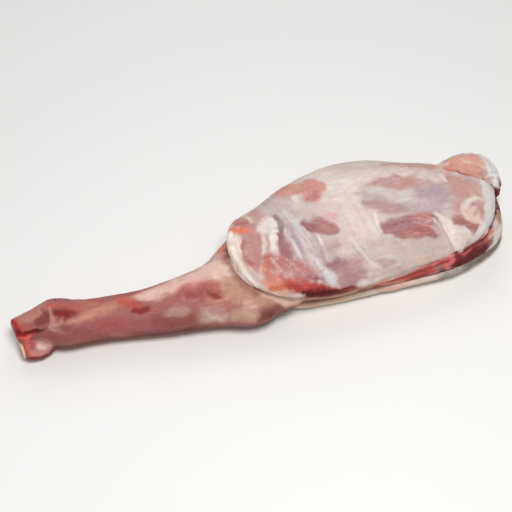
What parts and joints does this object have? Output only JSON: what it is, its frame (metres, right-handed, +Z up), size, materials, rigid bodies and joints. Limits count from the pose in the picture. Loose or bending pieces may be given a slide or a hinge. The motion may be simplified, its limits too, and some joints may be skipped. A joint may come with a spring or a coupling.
{
  "type": "raw lamb shoulder",
  "caption": "Raw lamb shoulder with the whole shank on, lying fat side down: flat muscled blade end with a folded flap, tapering shank and a sawn bone end.",
  "frame": {"origin": "middle of the bounding box's underside, in the plane that the shoulder rests on", "axes": "+X from the sawn shank to the blade end, +Y to the back edge with the folded flap at its far end, +Z up from the fat side to the inner side"},
  "size_m": [0.434, 0.1302, 0.0591],
  "materials": {
    "lean_meat": "moist raw meat under silvery membrane",
    "fat": "smooth cream fat",
    "cut_bone": "fresh sawn bone"
  },
  "bodies": {
    "root": {"shoulder": "lean_meat", "fat_cover": "fat", "shank_bone": "cut_bone"}
  },
  "joints": []
}
